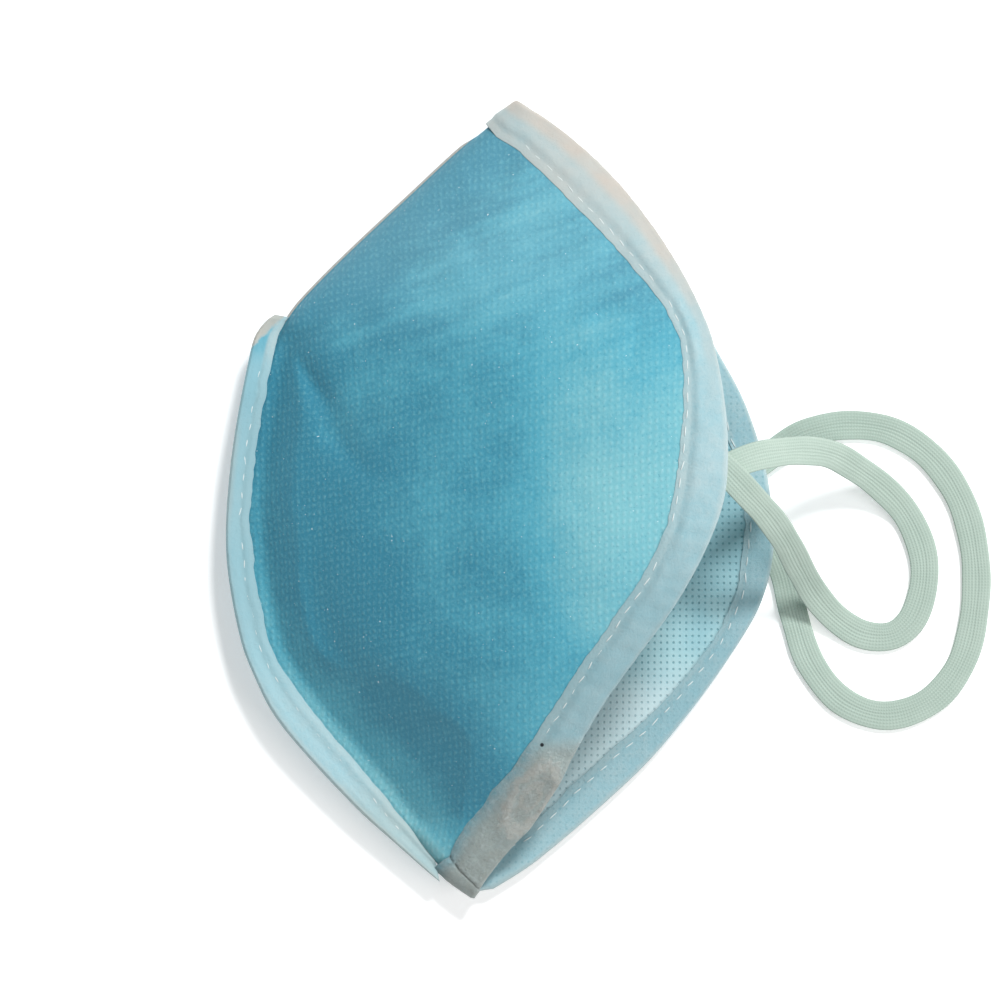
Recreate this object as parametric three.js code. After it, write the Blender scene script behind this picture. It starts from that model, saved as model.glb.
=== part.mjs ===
// A two-ply nonwoven face mask, folded flat and lying on its side.
//
// Units are millimetres. +Z is up, the mask lies on z = 0. +Y runs from the chin to the nose, and +X from
// the front seam to the opening. The upper half, with the left ear loop, is called near, and the half that
// lies on the surface far. Both hang together at the front line: a fold along the nose, a seam below it.

import * as THREE from 'three';

// ---- driving sizes ----

const WALL = 1.0; // thickness of each cloth layer and of the binding tape
const GAP = 0.3; // clearance between neighbouring pieces
const TAPE_GAP = 0.45; // and between the edge binding's legs and the cloth
const FOLD_RADIUS = 2.55; // outer radius of the bend at the front line
const SEAM_HALF = 0.7; // half the thickness of the sewn seam allowance
const CREASE_LIP = 0.5; // how far the pressed crease of the nose fold stands out
const TAPE_EDGE = WALL + GAP; // from the folded edge of a tape to the cloth edge inside it
const LINING_TOP = WALL + GAP; // depth of the lining's outer face below the outer layer's
const LINING_MARGIN = 0.9; // from the lining's edge to the binding's inner line, along X
const NOSE_Y = 71; // ends of the outer layer, inside the binding
const CHIN_Y = -70;
const LINING_NOSE_Y = 67; // the lining ends where the binding's inner line meets the front line
const LINING_CHIN_Y = -63;
const LAP_RAISE = 0.6; // extra thickness where the binding's end laps over its start
const LAP_START = 0.83; // where that end begins, as a share of the edge from nose to chin

// Where the edge binding turns round the front line. y: its inner line and its edge there; stretch:
// how much wider than the bend each of them turns; shear: how far the turn slants.
const NOSE_TURN = { y: [68.8, 74.1], stretch: [1, 1], shear: -0.3 };
const CHIN_TURN = { y: [-67.5, -73.8], stretch: [1.25, 0.75], shear: 0.15 };

const ELASTIC = { width: 5.4, thickness: 1.2, bevel: 0.4 };

// ---- section tables: one row for each station from nose to chin ----

// front: the nose fold and the front seam; near, far: the two opening edges, as X
const OUTLINE = table(['y', 'front', 'near', 'far'], [
  [75.8, 3.9, 2.9, 2.9],
  [72, -0.75, 9.2, 9.0],
  [66, -8.0, 16.5, 15.7],
  [58, -16.6, 24.1, 23.2],
  [48, -27.3, 31.3, 30.4],
  [41, -34.4, 35.3, 34.6],
  [35.6, -39.2, 37.9, 37.6],
  [30, -42.2, 40.0, 40.3],
  [20, -44.3, 42.0, 45.7],
  [10, -45.9, 42.8, 49.3],
  [0, -47.0, 42.0, 51.4],
  [-10, -46.6, 38.3, 51.8],
  [-20, -45.2, 32.7, 49.3],
  [-30, -42.2, 25.4, 43.4],
  [-40, -35.4, 18.4, 36.2],
  [-50, -26.9, 12.8, 27.8],
  [-60, -18.7, 6.7, 17.1],
  [-66, -14.5, 1.8, 10.1],
  [-70, -11.0, -1.2, 4.9],
  [-75.8, -5.2, -5.2, -4.6],
]);

// inner lines of the edge binding on each half, as X
const TAPE_LINE = table(['y', 'near', 'far'], [
  [72, -4.6, -4.6],
  [68.8, -0.7, -0.7],
  [66, 3.6, 4.2],
  [58, 11.8, 13.6],
  [48, 21.2, 23.2],
  [41, 27.2, 28.6],
  [35.6, 31.2, 32.2],
  [30, 33.6, 35.6],
  [20, 34.5, 40.4],
  [10, 33.8, 44.0],
  [0, 32.4, 46.4],
  [-10, 28.9, 46.0],
  [-20, 22.8, 44.0],
  [-30, 15.8, 38.2],
  [-40, 9.3, 29.6],
  [-50, 2.7, 18.8],
  [-60, -5.6, 8.2],
  [-64, -8.0, 3.2],
  [-67.5, -9.9, -9.9],
  [-72, -12.2, -12.2],
]);

// outline of the front seam binding, as X
const FIN = table(['y', 'edge'], [
  [35.8, -41.2],
  [34.6, -43.5],
  [32.8, -45.3],
  [30.6, -46.6],
  [27, -47.5],
  [17, -49.5],
  [7, -51.0],
  [-5, -51.9],
  [-14, -51.5],
  [-27, -49.0],
  [-34, -46.3],
  [-40.5, -43.0],
  [-47.5, -37.5],
  [-59, -26.7],
  [-65, -20.0],
  [-70.4, -13.9],
]);

// front: height of the front line; near: top of the near half at its edge; far: underside of the far
// half at its edge; floor: underside of its middle; bulge: how far the near half swells between them;
// roll: the puffed strip along the front seam; flute: the groove beside it
const HEIGHTS = table(['y', 'front', 'near', 'far', 'floor', 'bulge', 'roll', 'flute'], [
  [76, 5.6, 8.05, 3.15, 3.15, 0, 0, 0],
  [70, 5.7, 8.9, 3.2, 3.05, 0.3, 0, 0],
  [64, 6.2, 12.0, 3.0, 2.3, 1.2, 0, 0],
  [57, 6.9, 17.4, 2.8, 1.3, 2.9, 0, 0],
  [45, 8.2, 26.5, 2.5, 0, 5.4, 0, 0],
  [35, 9.0, 32.5, 2.4, 0, 7.0, 0, 0],
  [22, 9.4, 38.0, 3.0, 0, 8.0, 0, 0],
  [10, 9.6, 41.0, 4.4, 0, 8.4, 0, 0],
  [-3, 9.6, 42.0, 5.2, 0, 8.6, 0.2, 0.3],
  [-10, 9.5, 41.6, 4.2, 0, 8.6, 0.5, 0.8],
  [-17, 9.4, 40.4, 2.6, 0, 8.4, 0.9, 1.4],
  [-30, 9.0, 35.8, 2.4, 0, 7.8, 1.3, 2.2],
  [-42, 8.2, 29.0, 2.5, 0, 6.4, 1.2, 2.0],
  [-53, 7.2, 21.2, 2.6, 0.7, 4.4, 0.8, 1.2],
  [-63, 6.2, 13.2, 2.8, 2.2, 2.0, 0.2, 0.3],
  [-70, 5.7, 9.2, 3.15, 3.1, 0.2, 0, 0],
  [-76, 5.6, 8.05, 3.15, 3.15, 0, 0, 0],
]);

// creases of the near half: from one end to the other, how deep and how wide
const CREASES = table(['x0', 'y0', 'x1', 'y1', 'depth', 'width'], [
  [-40, 30, -28, 9, 1.1, 3.0],
  [-5, 60.5, 3, 63.5, 0.5, 3.0],
  [-6, 48, 9, 51.5, 0.6, 3.0],
  [21, 47, 30, 37, 0.5, 2.6],
  [-24, 44, -6, 38, 0.5, 4.0],
]);

// the elastic loops, as points of their middle line: x, y, z
const LEFT_LOOP = [
  [38.5, 9, 37.7], [42.4, 5.6, 36.2], [46.8, 1, 33.4], [51, -3.6, 27.6], [54.2, -8.2, 20.4],
  [56.8, -13, 12.6], [59.8, -18, 5.6], [64, -22.6, 1.6], [69, -25.6, 0.7], [74.4, -25.8, 0.7],
  [78.2, -22.8, 0.7], [80.2, -17.6, 0.7], [80.6, -12, 0.7], [79.2, -6.6, 0.7], [76.4, -1.6, 1.2],
  [72, 2.8, 4], [67.2, 6.2, 8.8], [62.6, 8.6, 15], [57.6, 9.3, 22.2], [52.6, 9, 28.6],
  [47.4, 8, 33.2], [42.6, 6, 34.9], [38.6, 3.2, 35],
];
const RIGHT_LOOP = [
  [46.2, -2.6, 2.2], [49, -5, 2.1], [51.8, -9, 1.6], [54.2, -14.8, 0.95], [56, -22.4, 0.7],
  [59, -31, 0.7], [65, -38.2, 0.7], [73.4, -41, 0.7], [82, -38, 0.7], [87.8, -30.6, 0.7],
  [90.2, -20.6, 0.7], [90.2, -10.2, 0.7], [87.6, -0.2, 0.7], [82, 8, 0.7], [74.4, 13, 0.7],
  [66.2, 14.2, 0.7], [58.4, 12.8, 0.9], [52.4, 9.2, 1.6], [48.9, 6.8, 2.1], [46.2, 5.6, 2.2],
];

// how finely each surface is divided
const BEND_STEPS = 4; // over each quarter of the bend
const NEAR_STEPS = 12; // across the near half, from the bend to the lining's edge
const FAR_STEPS = 8; // the same across the far half
const EDGE_STEPS = 3; // from there to the edge of the outer layer
const LAYER_STATIONS = 32;
const TAPE_STATIONS = 38; // along each opening edge
const TAPE_TURN = 6; // round the bend at the nose and at the chin
const FIN_STATIONS = 26;
const LOOP_STATIONS = 38;

// ---- tables and curves ----

// A table gives back its rows as objects, and at(y, column) as a smooth curve through one column.
function table(columns, rows) {
  const named = rows.map((row) => Object.fromEntries(columns.map((name, i) => [name, row[i]])));
  const slope = (name, i) => {
    const before = named[Math.max(i - 1, 0)];
    const after = named[Math.min(i + 1, named.length - 1)];
    return (after[name] - before[name]) / (after.y - before.y);
  };
  const at = (y, name) => {
    const last = named.length - 2;
    let i = named.findIndex((row, k) => k > 0 && row.y <= y) - 1;
    if (i < 0) i = y > named[0].y ? 0 : last;
    const [a, b] = [named[i], named[i + 1]];
    const span = b.y - a.y;
    const s = THREE.MathUtils.clamp((y - a.y) / span, 0, 1);
    const [s2, s3] = [s * s, s * s * s];
    return (
      (2 * s3 - 3 * s2 + 1) * a[name] + (s3 - 2 * s2 + s) * span * slope(name, i)
      + (3 * s2 - 2 * s3) * b[name] + (s3 - s2) * span * slope(name, i + 1)
    );
  };
  return { rows: named, at };
}

const outline = (name) => (y) => OUTLINE.at(y, name);
const frontX = outline('front');
const nearX = outline('near');
const farX = outline('far');
const finX = (y) => FIN.at(y, 'edge');
const height = (y, name) => HEIGHTS.at(y, name);

// how much longer a step across a slanting line is, measured along X
function slant(curve, y) {
  const reach = 0.5;
  return Math.hypot(1, (curve(y + reach) - curve(y - reach)) / (2 * reach));
}

const smooth = (x) => THREE.MathUtils.smoothstep(x, 0, 1);
const lerp = THREE.MathUtils.lerp;
const stations = (from, to, count) =>
  Array.from({ length: count }, (_, i) => lerp(from, to, i / (count - 1)));

// ---- the surface that every layer follows: the outer face of the outer layer ----

const bendX = (y) => FOLD_RADIUS * slant(frontX, y); // half width of the bend along X

// The near half: swollen between the front line and the edge, with its roll, flute and creases.
function nearHeight(x, y) {
  const u = THREE.MathUtils.clamp((x - frontX(y)) / Math.max(nearX(y) - frontX(y), 1), 0, 1);
  const v = u ** 1.3;
  const level = lerp(height(y, 'front') + FOLD_RADIUS, height(y, 'near'), u);
  const swell = height(y, 'bulge') * 4 * v * (1 - v);
  const fromFront = (x - frontX(y)) / slant(frontX, y);
  const roll = height(y, 'roll') * Math.exp(-(((fromFront - 4.5) / 2.6) ** 2));
  const flute = height(y, 'flute') * Math.exp(-(((fromFront - 11) / 4.5) ** 2));
  return level + swell + roll - flute - creaseDepth(x, y);
}

function creaseDepth(x, y) {
  let depth = 0;
  for (const crease of CREASES.rows) {
    const [dx, dy] = [crease.x1 - crease.x0, crease.y1 - crease.y0];
    const along = ((x - crease.x0) * dx + (y - crease.y0) * dy) / (dx * dx + dy * dy);
    const across = ((x - crease.x0) * dy - (y - crease.y0) * dx) / Math.hypot(dx, dy);
    const fade = smooth(along * 3 + 0.6) * smooth((1 - along) * 2 + 0.4);
    depth += crease.depth * fade * Math.exp(-((across / crease.width) ** 2));
  }
  return depth;
}

// The far half: down from the front line to a flat middle, and up again to its edge.
function farHeight(x, y) {
  const u = THREE.MathUtils.clamp((x - frontX(y)) / Math.max(farX(y) - frontX(y), 1), 0, 1);
  const floor = height(y, 'floor');
  const front = height(y, 'front') - FOLD_RADIUS;
  const down = (front - floor) * (1 - smooth(u / 0.32));
  const up = (height(y, 'far') - floor) * (1 - smooth((1 - u) / 0.36));
  return Math.max(floor, 0) + down + up;
}

// A half is given by turn, the angle round the bend (90 at the top, 180 at the front line, 270 below),
// and past the bend by the X that the point has.
function bendPoint(turn, y) {
  const angle = THREE.MathUtils.degToRad(turn);
  const x = frontX(y) + bendX(y) * (1 + Math.cos(angle));
  const above = Math.sin(angle);
  const side = above >= 0 ? nearHeight(x, y) : farHeight(x, y);
  const middle = height(y, 'front');
  const rise = side - (middle + Math.sign(above) * FOLD_RADIUS);
  return new THREE.Vector3(x, y, middle + FOLD_RADIUS * above + rise * Math.abs(above));
}

const nearPoint = (x, y) => new THREE.Vector3(x, y, nearHeight(x, y));
const farPoint = (x, y) => new THREE.Vector3(x, y, farHeight(x, y));

// Moves a point of a surface along its normal; surface(a, y) gives the point.
function offsetPoint(surface, a, y, distance, outward) {
  const step = 0.25;
  const along = surface(a, y + step).sub(surface(a, y - step));
  const across = surface(a + step, y).sub(surface(a - step, y));
  const normal = along.cross(across).normalize();
  if (normal.dot(outward) < 0) normal.negate();
  return surface(a, y).addScaledVector(normal, distance);
}

const UP = new THREE.Vector3(0, 0, 1);
const DOWN = new THREE.Vector3(0, 0, -1);
const nearOffset = (x, y, d) => offsetPoint(nearPoint, x, y, d, UP);
const farOffset = (x, y, d) => offsetPoint(farPoint, x, y, d, DOWN);

function bendOffset(turn, y, d) {
  const angle = THREE.MathUtils.degToRad(turn);
  const outward = new THREE.Vector3(Math.cos(angle), 0, Math.sin(angle));
  return offsetPoint(bendPoint, turn, y, d, outward);
}

// The X of the points across a half in the slice at y, from its bend to the lining's edge and, where
// edge is given, on to the edge of the outer layer. ease draws them together towards the bend.
function acrossHalf(y, name, steps, ease, edge) {
  const start = frontX(y) + bendX(y);
  const liningEdge = Math.max(TAPE_LINE.at(y, name) - LINING_MARGIN, start + LINING_MARGIN);
  const inside = stations(0, 1, steps + 1).map((t) => lerp(start, liningEdge, t ** ease));
  if (edge === undefined) return inside;
  return [...inside, ...stations(0, 1, EDGE_STEPS + 1).slice(1).map((t) => lerp(liningEdge, edge, t))];
}

// One face of a layer in the slice at y, from the near edge over the bend to the far edge, at a distance
// d from the shared surface. skip leaves out so many degrees of the bend on each side of the front line.
function sliceFace(y, d, edges = {}, skip = 0) {
  const near = acrossHalf(y, 'near', NEAR_STEPS, 1.5, edges.near).reverse();
  const far = acrossHalf(y, 'far', FAR_STEPS, 1.2, edges.far);
  const quarter = stations(0, 1, BEND_STEPS + 1);
  const before = quarter.slice(1).map((t) => bendOffset(lerp(90, 180 - skip, t), y, d));
  const after = quarter.slice(skip > 0 ? 0 : 1, -1).map((t) => bendOffset(lerp(180 + skip, 270, t), y, d));
  return {
    before: [...near.map((x) => nearOffset(x, y, d)), ...before],
    after: [...after, ...far.map((x) => farOffset(x, y, d))],
  };
}

// ---- solids from rings of points ----

// Joins rings of equally many points into one closed body, capped at both ends or closed on itself.
// cap lists the triangles of an end ring. From point back on a ring returns along its other face, whose
// squares are split the other way, so that both faces of a wall have the same triangles.
function loft(rings, cap, back = Infinity) {
  const size = rings[0].length;
  const position = rings.flat().flatMap((point) => [point.x, point.y, point.z]);
  const index = [];
  const spans = cap ? rings.length - 1 : rings.length;
  for (let ring = 0; ring < spans; ring += 1) {
    const next = (ring + 1) % rings.length;
    for (let i = 0; i < size; i += 1) {
      const j = (i + 1) % size;
      const [a, b] = [ring * size + i, ring * size + j];
      const [c, d] = [next * size + j, next * size + i];
      if (i < back) index.push(a, b, c, a, c, d);
      else index.push(a, b, d, b, c, d);
    }
  }
  if (cap) {
    const last = (rings.length - 1) * size;
    for (const [a, b, c] of cap) index.push(c, b, a, last + a, last + b, last + c);
  }
  const geometry = new THREE.BufferGeometry();
  geometry.setAttribute('position', new THREE.Float32BufferAttribute(position, 3));
  geometry.setIndex(index);
  if (signedVolume(position, index) < 0) {
    for (let i = 0; i < index.length; i += 3) [index[i], index[i + 1]] = [index[i + 1], index[i]];
    geometry.setIndex(index);
  }
  geometry.computeVertexNormals();
  return geometry;
}

function signedVolume(position, index) {
  const at = (i) => new THREE.Vector3().fromArray(position, 3 * i);
  let volume = 0;
  for (let i = 0; i < index.length; i += 3) {
    volume += at(index[i]).dot(at(index[i + 1]).cross(at(index[i + 2]))) / 6;
  }
  return volume;
}

// The end of a strip whose ring runs along one face and back along the other.
function stripCap(size) {
  const cap = [];
  for (let i = 0; i < size / 2 - 1; i += 1) {
    const [a, b] = [i, i + 1];
    const [c, d] = [size - 2 - i, size - 1 - i];
    cap.push([a, b, c], [a, c, d]);
  }
  return cap;
}

// ---- the pieces ----

// The stations of both layers lie closer together at the two ends, where the outline turns fast.
const LAYER_YS = stations(-1, 1, LAYER_STATIONS).map((s) => {
  const eased = 0.45 * Math.sin((s * Math.PI) / 2) + 0.55 * s;
  return lerp(NOSE_Y, CHIN_Y, (eased + 1) / 2);
});

// How far the seam allowance reaches in front of the front line at a station, as X of its end. Along the
// nose it is the pressed crease of the fold, and under the edge binding it is left out.
function allowanceEnd(y) {
  const shown = smooth((68 - y) / 3) * smooth((y + 67) / 3);
  const lip = frontX(y) - lerp(-0.05, CREASE_LIP, shown) * slant(frontX, y);
  if (y > 33) return lip;
  const inTape = finX(y) + (TAPE_EDGE + 0.3) * slant(finX, y);
  return Math.min(lip, lerp(lip, inTape, shown));
}

function outerLayer() {
  const skip = THREE.MathUtils.radToDeg(Math.asin(SEAM_HALF / FOLD_RADIUS));
  const margin = TAPE_EDGE + 0.1;
  const rings = LAYER_YS.map((y) => {
    const edges = { near: nearX(y) - margin * slant(nearX, y), far: farX(y) - margin * slant(farX, y) };
    const outside = sliceFace(y, 0, edges, skip);
    const inside = sliceFace(y, -WALL, edges);
    const middle = height(y, 'front');
    const allowance = [SEAM_HALF, -SEAM_HALF].map((z) => new THREE.Vector3(allowanceEnd(y), y, middle + z));
    const back = [...inside.before, ...inside.after].reverse();
    return [...outside.before, ...allowance, ...outside.after, ...back];
  });
  const near = NEAR_STEPS + EDGE_STEPS + BEND_STEPS;
  const far = FAR_STEPS + EDGE_STEPS + BEND_STEPS;
  return loft(rings, layerCap(near, far), near + far + 4);
}

// The end of the outer layer: two legs, the bend between them and the seam allowance on its outside.
// near and far are the numbers of steps from each edge to the front line.
function layerCap(near, far) {
  const outside = near + far + 4; // points of the outer face, with the allowance in its middle
  const size = outside + near + far + 1;
  const inner = (i) => size - 1 - i; // the inner face, counted from the near edge
  const cap = [];
  for (let i = 0; i < near; i += 1) {
    cap.push([i, i + 1, inner(i + 1)], [i, inner(i + 1), inner(i)]);
  }
  for (let i = 0; i < far; i += 1) {
    const [a, b] = [outside - 2 - i, outside - 1 - i];
    const [c, d] = [inner(near + far - i), inner(near + far - i - 1)];
    cap.push([a, b, c], [a, c, d]);
  }
  const [root, tip, under, foot] = [near, near + 1, near + 2, near + 3];
  cap.push([root, tip, under], [root, under, foot], [root, foot, inner(near)]);
  return cap;
}

function lining() {
  const rings = LAYER_YS.filter((y) => y < LINING_NOSE_Y && y > LINING_CHIN_Y).map((y) => {
    const outside = sliceFace(y, -LINING_TOP);
    const inside = sliceFace(y, -LINING_TOP - WALL);
    const back = [...inside.before, ...inside.after].reverse();
    return [...outside.before, ...outside.after, ...back];
  });
  return loft(rings, stripCap(rings[0].length), rings[0].length / 2);
}

// The seam binding is a tape folded round the seam allowance. Its stations run slanting, from the front
// line to the outline, so that its ends lie square to it.
function frontSeamBinding() {
  const half = SEAM_HALF + GAP;
  const rings = stations(0, 1, FIN_STATIONS).map((s) => {
    const [yIn, yOut] = [lerp(34.6, -67.0, s), lerp(35.1, -69.9, s)];
    const inner = new THREE.Vector2(frontX(yIn) - 0.2 * slant(frontX, yIn), yIn);
    const outer = new THREE.Vector2(finX(yOut), yOut);
    const fold = 1 - WALL / inner.distanceTo(outer);
    const profile = [
      [0, half], [0, half + WALL], [fold, half + WALL], [1, half], [1, -half],
      [fold, -half - WALL], [0, -half - WALL], [0, -half], [fold, -half], [fold, half],
    ];
    return profile.map(([across, z]) => {
      const point = inner.clone().lerp(outer, across);
      return new THREE.Vector3(point.x, point.y, height(point.y, 'front') + z);
    });
  });
  const cap = [
    [0, 1, 2], [0, 2, 9], [9, 2, 3], [9, 3, 4], [9, 4, 8], [8, 4, 5], [8, 5, 6], [8, 6, 7],
  ];
  return loft(rings, cap);
}

// The edge binding's section: across runs from its inner line to the edge, and d is the distance from the
// shared surface. One leg lies on the outer layer, the other under it beside the lining.
function tapeProfile(width, raise) {
  const fold = 1 - WALL / width;
  const middle = fold / 2;
  const [outside, top] = [TAPE_GAP, TAPE_GAP + WALL + raise];
  const [inside, bottom] = [-WALL - TAPE_GAP, -2 * WALL - TAPE_GAP];
  return [
    [0, outside], [0, top], [middle, top], [fold, top], [1, outside], [1, inside], [fold, bottom],
    [middle, bottom], [0, bottom], [0, inside], [middle, inside], [fold, inside], [fold, outside],
    [middle, outside],
  ];
}

// One section of the edge binding on a half, at s from the nose to the chin.
function edgeSection(s, name, edgeX, offset, raise) {
  const [yIn, yOut] = [lerp(NOSE_TURN.y[0], CHIN_TURN.y[0], s), lerp(NOSE_TURN.y[1], CHIN_TURN.y[1], s)];
  const inner = new THREE.Vector2(TAPE_LINE.at(yIn, name), yIn);
  const outer = new THREE.Vector2(edgeX(yOut), yOut);
  return tapeProfile(inner.distanceTo(outer), raise).map(([across, d]) => {
    const point = inner.clone().lerp(outer, across);
    return offset(point.x, point.y, d);
  });
}

// One section of the edge binding in a turn round the front line. stretch widens the turn and shear
// slants it, each from the inner line to the edge.
function turnSection(end, turn, raise) {
  const angle = THREE.MathUtils.degToRad(turn);
  const axis = end.y.map((y) => new THREE.Vector2(frontX(y) + bendX(y), y));
  const along = axis[1].clone().sub(axis[0]).normalize();
  return tapeProfile(axis[0].distanceTo(axis[1]), raise).map(([across, d]) => {
    const point = axis[0].clone().lerp(axis[1], across);
    const slope = frontX(point.y + 0.5) - frontX(point.y - 0.5);
    const out = new THREE.Vector2(-1, slope).normalize();
    const stretch = d > 0 ? lerp(end.stretch[0], end.stretch[1], across) : 1;
    const reach = -Math.cos(angle) * (FOLD_RADIUS + d) * stretch;
    point.addScaledVector(out, reach).addScaledVector(along, end.shear * across * reach);
    const z = height(point.y, 'front') + Math.sin(angle) * (FOLD_RADIUS + d);
    return new THREE.Vector3(point.x, point.y, z);
  });
}

// The edge binding is one tape folded round the whole opening: along the near edge from the chin to the
// nose, round the nose fold, back along the far edge, and round the chin, where its end laps over.
function edgeBinding() {
  const turns = stations(0, 1, TAPE_TURN + 1).slice(1, -1);
  const lapRaise = (s) => LAP_RAISE * smooth((s - LAP_START) * 60);
  const rings = [
    ...stations(1, 0, TAPE_STATIONS).map((s) => edgeSection(s, 'near', nearX, nearOffset, lapRaise(s))),
    ...turns.map((t) => turnSection(NOSE_TURN, lerp(90, 270, t), 0)),
    ...stations(0, 1, TAPE_STATIONS).map((s) => edgeSection(s, 'far', farX, farOffset, 0)),
    ...turns.map((t) => turnSection(CHIN_TURN, lerp(270, 90, t), LAP_RAISE * t)),
  ];
  return loft(rings);
}

// An elastic loop: a flat band along its middle line, lying with its broad side up.
function earLoop(route) {
  const path = new THREE.CatmullRomCurve3(route.map((point) => new THREE.Vector3(...point)));
  const [side, top] = [ELASTIC.width / 2, ELASTIC.thickness / 2];
  const [sideFlat, topFlat] = [top - ELASTIC.bevel, side - ELASTIC.bevel];
  const section = [
    [-side, -sideFlat], [-side, sideFlat], [-topFlat, top], [topFlat, top],
    [side, sideFlat], [side, -sideFlat], [topFlat, -top], [-topFlat, -top],
  ];
  const rings = stations(0, 1, LOOP_STATIONS).map((t) => {
    const middle = path.getPointAt(t);
    const along = path.getTangentAt(t);
    const sideways = along.clone().cross(UP).normalize();
    const over = sideways.clone().cross(along);
    return section.map(([across, up]) =>
      middle.clone().addScaledVector(sideways, across).addScaledVector(over, up));
  });
  const cap = section.slice(2).map((_, i) => [0, i + 1, i + 2]);
  return loft(rings, cap);
}

// ---- the mask ----

function piece(name, geometry, color, roughness) {
  const mesh = new THREE.Mesh(geometry, new THREE.MeshStandardMaterial({ color, roughness, metalness: 0 }));
  mesh.name = name;
  return mesh;
}

const mask = new THREE.Group();
mask.add(
  piece('outer_layer', outerLayer(), 0x4f9cb1, 0.85),
  piece('lining', lining(), 0xa9c7cb, 0.9),
  piece('front_seam_binding', frontSeamBinding(), 0xb4d2d9, 0.8),
  piece('edge_binding', edgeBinding(), 0xb8d3d8, 0.8),
  piece('ear_loop_left', earLoop(LEFT_LOOP), 0xaec4b9, 0.9),
  piece('ear_loop_right', earLoop(RIGHT_LOOP), 0xaec4b9, 0.9),
);

export default mask;
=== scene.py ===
"""A two-ply nonwoven face mask, folded flat and lying on its side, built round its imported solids.

Sizes in the tables and surface functions are millimetres. The meshes are in metres.
"""

from functools import lru_cache, partial
from math import asin, atan, copysign, cos, degrees, dist, exp, hypot, pi, radians, sin

import bmesh
import bpy
from bpy.props import FloatProperty, FloatVectorProperty, IntProperty, PointerProperty
from mathutils import Matrix, Vector, noise


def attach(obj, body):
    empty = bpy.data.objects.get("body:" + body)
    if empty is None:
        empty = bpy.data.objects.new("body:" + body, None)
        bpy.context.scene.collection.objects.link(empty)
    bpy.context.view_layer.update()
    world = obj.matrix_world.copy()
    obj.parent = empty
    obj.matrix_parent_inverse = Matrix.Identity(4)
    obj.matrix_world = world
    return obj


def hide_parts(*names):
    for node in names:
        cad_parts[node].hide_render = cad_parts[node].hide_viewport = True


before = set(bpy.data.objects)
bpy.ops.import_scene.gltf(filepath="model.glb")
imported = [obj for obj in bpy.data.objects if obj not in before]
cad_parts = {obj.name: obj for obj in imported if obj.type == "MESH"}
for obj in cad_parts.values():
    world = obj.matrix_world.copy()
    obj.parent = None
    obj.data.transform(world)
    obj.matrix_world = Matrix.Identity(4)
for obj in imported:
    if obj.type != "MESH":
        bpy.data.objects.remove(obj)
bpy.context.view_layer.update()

bl_info = {
    "name": "Folded face mask",
    "version": (1, 0, 0),
    "blender": (4, 5, 0),
    "location": "View3D > Sidebar > Face mask",
    "description": "Builds a folded two-ply face mask with bound edges and elastic ear loops",
    "category": "Add Mesh",
}

MM = 0.001

# ---- sizes shared with the solids ----

WALL = 1.0
GAP = 0.3
FOLD_RADIUS = 2.55
SEAM_HALF = 0.7
CREASE_LIP = 0.5
LINING_DEPTH = WALL + GAP
NOSE_Y, CHIN_Y = 71.0, -70.0
LAP_START, LAP_RAISE = 0.83, 0.35
LOOP_SEWN = (30.8, -7.4)  # where the near loop's end puffs up the tape
OUTER_HEM = 1.4  # from the binding's edge to the outer layer's, inside it
LINING_HEM = 2.4  # from the binding's inner line to the lining's edge, inside it
LINING_ENDS = (-66, 67.5)  # between which rows it reaches
FOLD_SHARE = 0.93  # how far across a tape its fold begins
LOOP_STEPS = 150

# the cloth that lies flat beside the front seam
SEAM_STRIP = {"height": 0.7, "slope": 0.2, "width": 2.2, "climb": 0.75}

# where the edge binding turns round the front line
NOSE_TURN = {"y": (68.8, 74.1), "stretch": (1.15, 1.0), "shear": -0.3}
CHIN_TURN = {"y": (-67.5, -73.8), "stretch": (1.25, 0.75), "shear": 0.15}

UP, DOWN = Vector((0, 0, 1)), Vector((0, 0, -1))


def lerp(a, b, t):
    return a + (b - a) * t


def clamp(x):
    return min(max(x, 0), 1)


def smooth(x):
    x = clamp(x)
    return x * x * (3 - 2 * x)


def hill(x, width):
    """A rounded bump of height 1 at x = 0."""
    return exp(-((x / width) ** 2))


def steps(start, end, count):
    return [lerp(start, end, i / (count - 1)) for i in range(count)]


def flow(a, b, slope_a, slope_b, t):
    """A smooth way from a to b, with a slope at each end."""
    t2, t3 = t * t, t * t * t
    ends = a * (2 * t3 - 3 * t2 + 1) + b * (3 * t2 - 2 * t3)
    return ends + slope_a * (t3 - 2 * t2 + t) + slope_b * (t3 - t2)


def wobble(x, y, z=0):
    """Smooth noise from about -1 to 1."""
    return noise.noise(Vector((x, y, z)))


class Table:
    """Rows of named columns, the first of them y, with a smooth curve through each column."""

    def __init__(self, columns, rows):
        self.rows = [dict(zip(columns.split(), row)) for row in rows]

    def slope(self, name, i):
        before, after = self.rows[max(i - 1, 0)], self.rows[min(i + 1, len(self.rows) - 1)]
        return (after[name] - before[name]) / (after["y"] - before["y"])

    @lru_cache(maxsize=None)
    def at(self, y, name):
        i = 0
        while i < len(self.rows) - 2 and self.rows[i + 1]["y"] > y:
            i += 1
        a, b = self.rows[i], self.rows[i + 1]
        span = b["y"] - a["y"]
        slopes = (span * self.slope(name, i + end) for end in (0, 1))
        return flow(a[name], b[name], *slopes, clamp((y - a["y"]) / span))


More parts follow.
